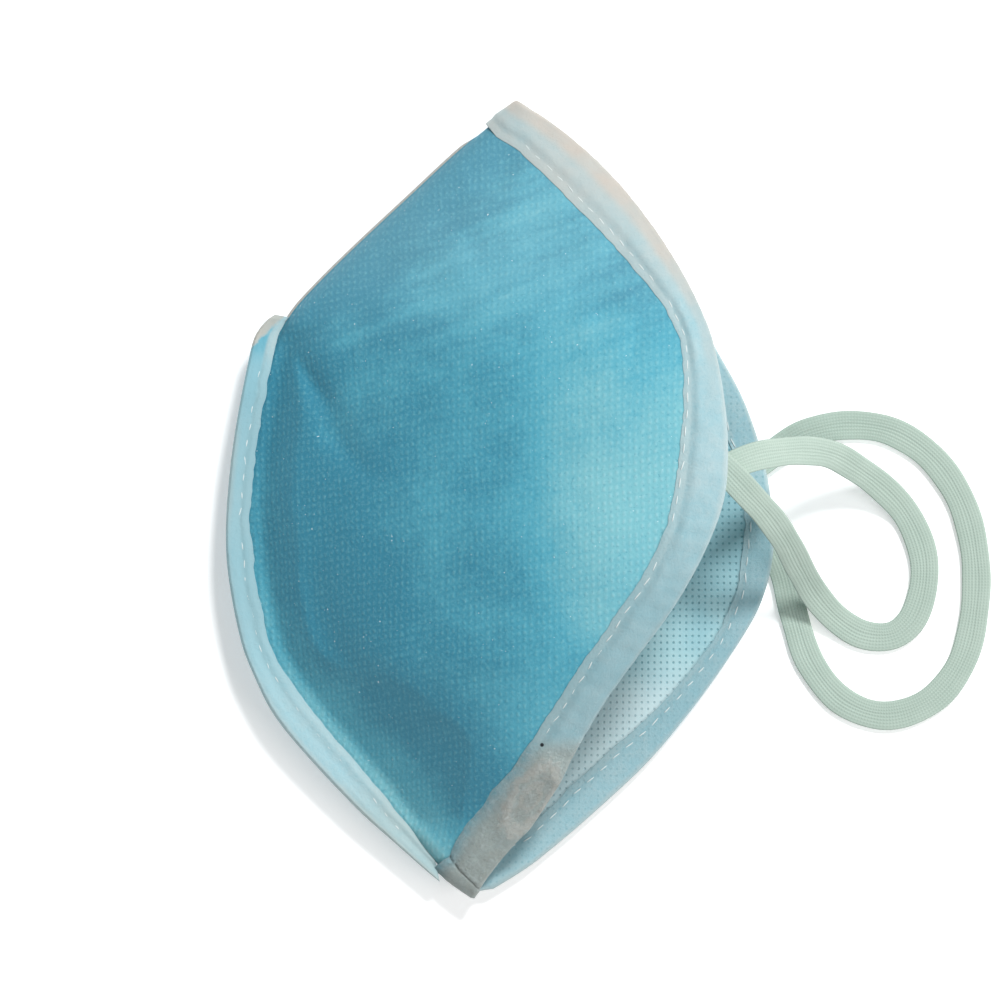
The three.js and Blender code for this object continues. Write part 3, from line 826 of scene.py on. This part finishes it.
def seam_tape(colours):
    """The tape of the front seam: bluer and wrinkled low down, with a warm wedge at its top."""
    finish, colour, height, masks = tape("seam_tape", colours, 7.6)
    x, y, across, cloudy, _, streaks = masks
    # the cloth under it ends at a slant
    top = (y - x * 0.98 + (streaks - 0.5) * 2).rise(74.4, 75.6)
    patch = (1 - top) * y.rise(8, 24) * across.rise(3.2, 4.8) * across.rise(10.6, 9.8)
    wedge = top * across.rise(2, 3.5) + y.rise(-9, 0) * y.rise(16, 10) * across.rise(6.5, 9)
    colour = finish.layered(
        colour,
        (colours.blue, patch * (0.25 + cloudy * 0.8)),
        (colours.tape_warm, wedge.clamped() * (0.55 + cloudy * 0.5)),
        (colours.tape_grey, top * (0.2 + streaks * 0.4)),
        (colours.tape_over_blue, y.rise(30, 24) * (y.rise(-52, -26) * 0.5 + 0.15)),
        (colours.tape_shade, y.rise(27, 18) * y.rise(-42, -18) * 0.3),
        (colours.tape_grey, y.rise(-50, -62) * 0.4),
    )
    return finish.finished(colour, height, 0.22)


def flat_elastic(colours):
    """Knitted elastic, ribbed lengthwise."""
    finish = Finish("flat_elastic", roughness=0.85, specular=0.2, sheen=0.15)
    across, along = finish.cloth()
    rib = (across * (2 * pi / 0.6)).cosine() * 0.5 + 0.5
    knit = (along / 0.55 + rib * 0.3).centred().absolute() * 2
    fibres = finish.noise(0.3, 4, 0.7)
    level = (rib * 0.3 + knit * 0.2 + fibres * 0.3 + finish.noise(6) * 0.5).rise(0.2, 1.0)
    colour = finish.layered(
        colours.elastic_deep,
        (colours.elastic, level),
        (colours.fibre, fibres.rise(0.62, 0.9) * 0.2),
    )
    return finish.finished(colour, rib * 0.5 + knit * 0.25 + fibres * 0.25, 0.12)


def thread(colours):
    """White sewing thread, twisted."""
    finish = Finish("thread", roughness=0.6, specular=0.35, sheen=0.2)
    twist = (finish.noise(0.5, 3, 0.6) - 0.5).absolute() * 2
    return finish.finished(finish.mix(colours.thread, colours.tape_grey, twist * 0.4), twist, 0.04)


def floor_paint(colours):
    """An even, pale, matt floor."""
    finish = Finish("floor_paint", roughness=0.9, specular=0.1)
    finish.shader.inputs["Emission Strength"].default_value = 0.35
    return finish.finished(finish.mix(colours.floor, colours.fibre, finish.noise(30) * 0.1))


# ---- what a user may change ----


def amount(name, description, default, soft_max=10.0, **more):
    return FloatProperty(name=name, description=description, default=default, min=0.0,
                         soft_max=soft_max, **more)


def tint(name, description, default):
    return FloatVectorProperty(name=name, description=description, default=default, size=3,
                               min=0.0, max=1.0, subtype="COLOR")


length = partial(amount, soft_max=0.02, unit="LENGTH", precision=5)


class MaskSizes(bpy.types.PropertyGroup):
    outer_wall: length("Outer layer", "Thickness of the outer layer", 0.0006)
    lining_wall: length("Lining", "Thickness of the pale lining", 0.00035)
    tape_wall: length("Tape", "Thickness of the binding tapes", 0.00012)
    elastic_width: length("Elastic width", "Width of the ear loops' elastic", 0.0054)
    elastic_thickness: length("Elastic thickness", "Thickness of the elastic", 0.0012)
    stitch_pitch: length("Stitch pitch", "From one stitch to the next", 0.0033)
    stitch_length: length("Stitch length", "Thread that shows in each stitch", 0.0019)
    thread_width: length("Thread", "Thickness of the sewing thread", 0.00027)
    elastic_ribs: IntProperty(name="Elastic ribs", description="Ribs across the elastic",
                              default=9, min=2, max=14)
    field: length("Field", "Width of the camera's view", 0.19, soft_max=1.0)
    camera_height: length("Camera height", "Camera above the floor", 3.0, soft_max=10.0)
    key_strength: amount("Key light", "Strength of the key light", 2.5)
    side_strength: amount("Side light", "Strength of the light from the right", 1.3)
    fill_strength: amount("Fill light", "Strength of the light from all round", 0.34)


class MaskColours(bpy.types.PropertyGroup):
    blue: tint("Blue", "Outer layer", (0.077, 0.36, 0.475))
    # deep blue and light blue also serve as the outer layer's painted shade and painted light
    blue_deep: tint("Deep blue", "Outer layer where freshest", (0.034, 0.225, 0.33))
    blue_light: tint("Light blue", "Dashes, and outer layer where faded", (0.20, 0.50, 0.56))
    fleck: tint("Fleck", "Flecks in the outer layer", (0.8, 0.92, 0.94))
    lining: tint("Lining", "Inner layer", (0.40, 0.61, 0.645))
    # the lining shade also serves as painted shadow on the lining's upper part
    lining_deep: tint("Lining shade", "Inner layer where thinner", (0.29, 0.51, 0.565))
    lining_point: tint("Bond point", "Bond points of the inner layer", (0.10, 0.27, 0.32))
    # the rim colour is partly a painted highlight on the tapes' folds
    tape: tint("Tape", "Folded rim of the tapes", (0.46, 0.53, 0.52))
    tape_pale: tint("Pale tape", "Tapes where they lie doubled", (0.40, 0.545, 0.575))
    tape_over_blue: tint("Tape over blue", "Tapes with the blue layer behind", (0.29, 0.50, 0.56))
    tape_warm: tint("Warm tape", "Tapes near the nose", (0.52, 0.48, 0.43))
    # tape shade also serves as painted shade on the edge tape's lower part
    tape_shade: tint("Tape shade", "Hollows of the tapes", (0.17, 0.33, 0.38))
    tape_grey: tint("Grey tape", "Tapes where they lap", (0.36, 0.41, 0.38))
    tape_soiled: tint("Soiled tape", "Hollows of the lap", (0.235, 0.225, 0.195))
    # fibre also serves as painted light on the lining's lower part
    fibre: tint("Fibre", "Bright fibres of the tapes", (0.66, 0.75, 0.76))
    elastic: tint("Elastic", "Ribs of the ear loops", (0.44, 0.54, 0.475))
    elastic_deep: tint("Elastic shade", "Between the ribs", (0.35, 0.45, 0.39))
    thread: tint("Thread", "Sewing thread", (0.66, 0.73, 0.73))
    speck: tint("Speck", "A dark speck on the near tape", (0.01, 0.015, 0.02))
    floor: tint("Floor", "Floor under the mask", (0.9, 0.9, 0.9))


# ---- the pieces ----


class MESH_OT_mask_stage(bpy.types.Operator):
    """Sets up the camera, the lights and the floor"""

    bl_idname = "mesh.mask_stage"
    bl_label = "Stage"

    def execute(self, context):
        sizes, scene = context.scene.mask_sizes, context.scene
        camera = bpy.data.cameras.new("Camera")
        camera.lens = camera.sensor_width * sizes.camera_height / sizes.field
        scene.camera = placed("Camera", camera)
        scene.camera.location = (0, 0, sizes.camera_height)
        lights = (
            ("Key", sizes.key_strength, 10, (0.25, 0.54, 0.80)),
            ("Side", sizes.side_strength, 35, (0.72, -0.3, 0.63)),
        )
        for name, strength, angle, direction in lights:
            sun = bpy.data.lights.new(name, "SUN")
            sun.energy, sun.angle = strength, radians(angle)
            turn = Vector(direction).to_track_quat("Z", "Y")
            placed(name, sun).rotation_euler = turn.to_euler()
        world = scene.world = bpy.data.worlds.new("Soft light")
        world.use_nodes = True
        background = world.node_tree.nodes["Background"]
        background.inputs["Color"].default_value = (1, 1, 1, 1)
        background.inputs["Strength"].default_value = sizes.fill_strength
        scene.view_settings.view_transform = "Standard"
        bm = bmesh.new()
        bmesh.ops.create_grid(bm, x_segments=1, y_segments=1, size=3)
        bmesh.ops.translate(bm, verts=bm.verts, vec=(0, 0, -0.0002))
        floor = placed("floor", finished_mesh("floor", bm))
        floor.data.materials.append(floor_paint(scene.mask_colours))
        return {"FINISHED"}


def route(points):
    """A smooth line through points, in even steps."""
    points = [Vector(point) for point in points]
    ends = [points[0] * 2 - points[1], *points, points[-1] * 2 - points[-2]]
    fine = []
    for a, b, c, d in zip(ends, ends[1:], ends[2:], ends[3:]):
        fine += [flow(b, c, (c - a) / 2, (d - b) / 2, t) for t in steps(0, 1, 21)[:-1]]
    fine.append(points[-1])
    found = lengths(fine)
    return [spot(fine, found, run)[0] for run in steps(0, found[-1], LOOP_STEPS + 1)]


def elastic_section(sizes):
    """Points round a flat, ribbed band, as (across, up)."""
    side, top, valley = sizes.elastic_width / MM / 2, sizes.elastic_thickness / MM / 2, 0.05
    points = []
    for turn in steps(0, 2 * pi, 97):
        across = side * copysign(abs(cos(turn)) ** 0.55, cos(turn))
        rise = abs(sin(turn)) ** 0.4
        ribbing = 0.5 - 0.5 * cos((across / side + 1) * sizes.elastic_ribs * pi)
        points.append((across, copysign((top - valley * ribbing) * rise, sin(turn))))
    return points


class MESH_OT_mask_ear_loops(bpy.types.Operator):
    """Lays the two elastic ear loops, each sewn into the edge binding by both ends"""

    bl_idname = "mesh.mask_ear_loops"
    bl_label = "Ear loops"

    def execute(self, context):
        sizes = context.scene.mask_sizes
        band = elastic_section(sizes)
        finish = flat_elastic(context.scene.mask_colours)
        for side, points in LOOPS.items():
            line = route(points)
            found = lengths(line)
            rings = []
            for i, middle in enumerate(line):
                tangent = (line[min(i + 1, LOOP_STEPS)] - line[max(i - 1, 0)]).normalized()
                sideways = tangent.cross(UP).normalized()
                over = sideways.cross(tangent)
                wave = 0.05 * sin(found[i] * 2 * pi / 1.1)
                rings.append([
                    (middle + sideways * (across + copysign(1, across) * wave) + over * up,
                     across, found[i])
                    for across, up in band
                ])
            first, last = ([(line[end], 0, found[end])] * len(band) for end in (0, -1))
            mesh = woven_mesh(f"{side}_elastic", [first, *rings, last], turned=True)
            piece = show(mesh, finish, f"ear_loop_{side}")
            line[0] * MM
            [point * MM for point in line]
        return {"FINISHED"}


def fold_profile(start, valley, crown, fold, back, mark):
    """A tape's outer face from one inner line round its fold, as (across, share, distance).

    start is its height at that line, valley where it is sewn, at the share mark, crown beyond it,
    fold at the middle of its rounded edge, and back on its other leg.
    """
    sag, rim = 0.12, 0.012
    profile = []
    for share in [0, rim, *steps(0, FOLD_SHARE, 18)[1:]]:
        free = lerp(start, crown, smooth(share / 0.4))
        sewn = hill((share - mark) / mark, 0.7)
        profile.append((10 * share, share, lerp(free, valley, sewn)))
    top, low = profile[-1][2], back - sag
    for turn in steps(0, 1, 11)[1:-1]:
        high = lerp(low, top, (1 + cos(pi * turn)) / 2)
        share = lerp(FOLD_SHARE, 1, sin(pi * turn))
        profile.append((9.3 + 1.4 * turn, share, lerp(high, fold, 0.15)))
    for share in [*steps(FOLD_SHARE, 0, 12)[:-1], rim, 0]:
        sewn = hill((share - mark) / mark, 0.75)
        profile.append((20 - 10 * share, share, back - sag * smooth(share / 0.4) * (1 - sewn)))
    return profile


class MESH_OT_mask_front_seam_binding(bpy.types.Operator):
    """Folds a tape round the allowance of the front seam"""

    bl_idname = "mesh.mask_front_seam_binding"
    bl_label = "Front seam binding"

    def execute(self, context):
        def raised(place, shut, along, across, share, distance):
            wave = wobble(across * 0.5, along * 0.35, 5)
            fine = wobble(across * 0.9, along * 0.9, 9)
            puff = (0.16 * wave + 0.07 * fine) * smooth(share / 0.3)
            return 0 if shut else distance + copysign(puff, distance)

        profile = fold_profile(start=0.92, valley=1.05, crown=1.6, fold=0, back=-1.2, mark=0.4)
        sections = [(seam_section(s)[1], False) for s in steps(0, 1, 150)]
        sections = [(sections[0][0], True), *sections, (sections[-1][0], True)]
        mesh = tape_mesh("seam_tape", profile, sections, middle=0.5, raised=raised)
        finish = seam_tape(context.scene.mask_colours)
        show(mesh, finish, "front_seam_binding", "tape_wall")
        return {"FINISHED"}


def edge_sections(count, turn_count):
    """The places of the edge binding all the way round, each with how far the lap raises it."""
    turned = steps(0, 1, turn_count)[1:-1]
    return [
        *((near_section(s)[1], LAP_RAISE * smooth((s - LAP_START) * 60))
          for s in steps(1, 0, count)),
        *((turn_section(NOSE_TURN, lerp(90, 270, t)), 0) for t in turned),
        *((far_section(s)[1], 0) for s in steps(0, 1, count)),
        *((turn_section(CHIN_TURN, lerp(270, 90, t)), LAP_RAISE * t) for t in turned),
        (near_section(1)[1], LAP_RAISE),
    ]


class MESH_OT_mask_edge_binding(bpy.types.Operator):
    """Folds one tape round the opening, from the chin along both halves and back to its lap"""

    bl_idname = "mesh.mask_edge_binding"
    bl_label = "Edge binding"

    def execute(self, context):
        pitch = context.scene.mask_sizes.stitch_pitch / MM

        def raised(place, lap, along, across, share, distance):
            flat = place(share, 0)
            wave = wobble(flat.x * 0.3, flat.y * 0.3, distance)
            fine = wobble(flat.x * 0.9, flat.y * 0.9, 4 + distance)
            puff = (0.2 * wave + 0.08 * fine) * smooth(share / 0.35)
            if distance <= 0:
                return distance - 0.4 * abs(puff)
            pucker = (0.05 + 0.05 * cos(along * 2 * pi / pitch)) * smooth(share / 0.1)
            pucker *= 1 - hill((share - 0.17) / 0.17, 0.6)
            oval = 0.55 * hill(hypot(*pressed_end(flat.x, flat.y)) - 1, 0.3)
            loop = 0.5 * hill(dist(flat.xy, LOOP_SEWN), 3.2) * abs(fine)
            return distance + puff + lap * smooth(share / 0.12) + pucker + oval + loop

        profile = fold_profile(start=0.08, valley=0.3, crown=0.95, fold=-0.8, back=-1.9, mark=0.15)
        sections = edge_sections(count=190, turn_count=14)
        mesh = tape_mesh("edge_tape", profile, sections, middle=0.9, raised=raised)
        finish = edge_tape(context.scene.mask_colours)
        show(mesh, finish, "edge_binding", "tape_wall")
        return {"FINISHED"}


def sew(bm, sections, distance, sizes):
    """Adds one line of stitches. Each section has its own inset from its inner line."""
    line = [at(inset / width, distance) for (width, at), inset in sections]
    above = [at(inset / width, distance + 0.3) for (width, at), inset in sections]
    found = lengths(line)
    pitch, long, thick = sizes.stitch_pitch / MM, sizes.stitch_length / MM, sizes.thread_width / MM
    for k in range(int(found[-1] / pitch)):
        middle, i = spot(line, found, (k + 0.5) * pitch)
        along = (line[i] - line[i - 1]).normalized()
        over = (above[i] - line[i]).normalized()
        sway = 0.22 * wobble(*middle * 0.9)
        aside = along.cross(over).normalized()
        along = (along + aside * sway).normalized()
        aside = along.cross(over).normalized()
        turn = Matrix((aside, over, along)).transposed().to_4x4()
        size = Matrix.Diagonal((thick, thick * 0.8, long * (1 + sway), 1))
        place = Matrix.Scale(MM, 4) @ Matrix.Translation(middle) @ turn @ size
        bmesh.ops.create_uvsphere(bm, u_segments=6, v_segments=5, radius=0.5, matrix=place)


class MESH_OT_mask_stitching(bpy.types.Operator):
    """Sews the bindings down with white thread, on both faces"""

    bl_idname = "mesh.mask_stitching"
    bl_label = "Stitching"

    def execute(self, context):
        sizes = context.scene.mask_sizes
        bm = bmesh.new()
        # each line's inset, its stations and the distances of its two faces
        edge = (lambda s: 1.6 - 0.9 * hill(s - 0.42, 0.2), steps(0.015, 0.985, 150), (0.3, -1.97))
        seam = (lambda s: 2, steps(0.03, 0.95, 110), (1.02, -1.26))
        lines = (near_section, edge), (far_section, edge), (seam_section, seam)
        for place, (inset, stations, faces) in lines:
            sections = [(place(s), inset(s)) for s in stations]
            for distance in faces:
                sew(bm, sections, distance, sizes)
        show(finished_mesh("stitching", bm), thread(context.scene.mask_colours))
        return {"FINISHED"}


class MESH_OT_mask_lining(bpy.types.Operator):
    """Lines the mask with pale cloth, folded along its front"""

    bl_idname = "mesh.mask_lining"
    bl_label = "Lining"

    def execute(self, context):
        rows = [y for y in layer_rows(170) if LINING_ENDS[0] < y < LINING_ENDS[1]]
        mesh = woven_mesh("lining_cloth", [lining_ring(y) for y in rows])
        finish = pale_nonwoven(context.scene.mask_colours)
        piece = show(mesh, finish, "lining", "lining_wall")
        return {"FINISHED"}


class MESH_OT_mask_outer_layer(bpy.types.Operator):
    """Shapes the blue outer layer: two halves joined by the front seam and the nose fold"""

    bl_idname = "mesh.mask_outer_layer"
    bl_label = "Outer layer"

    def execute(self, context):
        mesh = woven_mesh("outer_cloth", [outer_ring(y) for y in layer_rows(200)])
        inward = mesh.attributes.new("inward", "FLOAT", "POINT")
        for item, vert in zip(inward.data, mesh.vertices):
            y = round(vert.co.y / MM, 4)
            item.value = (vert.co.x / MM - front_x(y)) / slant(front_x, y)
        finish = blue_nonwoven(context.scene.mask_colours)
        piece = show(mesh, finish, "outer_layer", "outer_wall")
        return {"FINISHED"}


class VIEW3D_PT_face_mask(bpy.types.Panel):
    """The pieces of the mask, and their sizes and colours"""

    bl_idname = "VIEW3D_PT_face_mask"
    bl_label = "Face mask"
    bl_space_type = "VIEW_3D"
    bl_region_type = "UI"
    bl_category = "Face mask"

    def draw(self, context):
        for operator in OPERATORS:
            self.layout.operator(operator.bl_idname)
        for group in (context.scene.mask_sizes, context.scene.mask_colours):
            for name in group.bl_rna.properties.keys():
                if name not in ("rna_type", "name"):
                    self.layout.prop(group, name)


OPERATORS = (
    MESH_OT_mask_stage,
    MESH_OT_mask_ear_loops,
    MESH_OT_mask_front_seam_binding,
    MESH_OT_mask_edge_binding,
    MESH_OT_mask_stitching,
    MESH_OT_mask_lining,
    MESH_OT_mask_outer_layer,
)
CLASSES = (MaskSizes, MaskColours, *OPERATORS, VIEW3D_PT_face_mask)


def register():
    for item in CLASSES:
        bpy.utils.register_class(item)
    bpy.types.Scene.mask_sizes = PointerProperty(type=MaskSizes)
    bpy.types.Scene.mask_colours = PointerProperty(type=MaskColours)


def unregister():
    del bpy.types.Scene.mask_colours
    del bpy.types.Scene.mask_sizes
    for item in reversed(CLASSES):
        bpy.utils.unregister_class(item)


def main():
    register()
    for operator in OPERATORS:
        getattr(bpy.ops.mesh, operator.bl_idname.split(".")[1])()


if __name__ == "__main__":
    main()
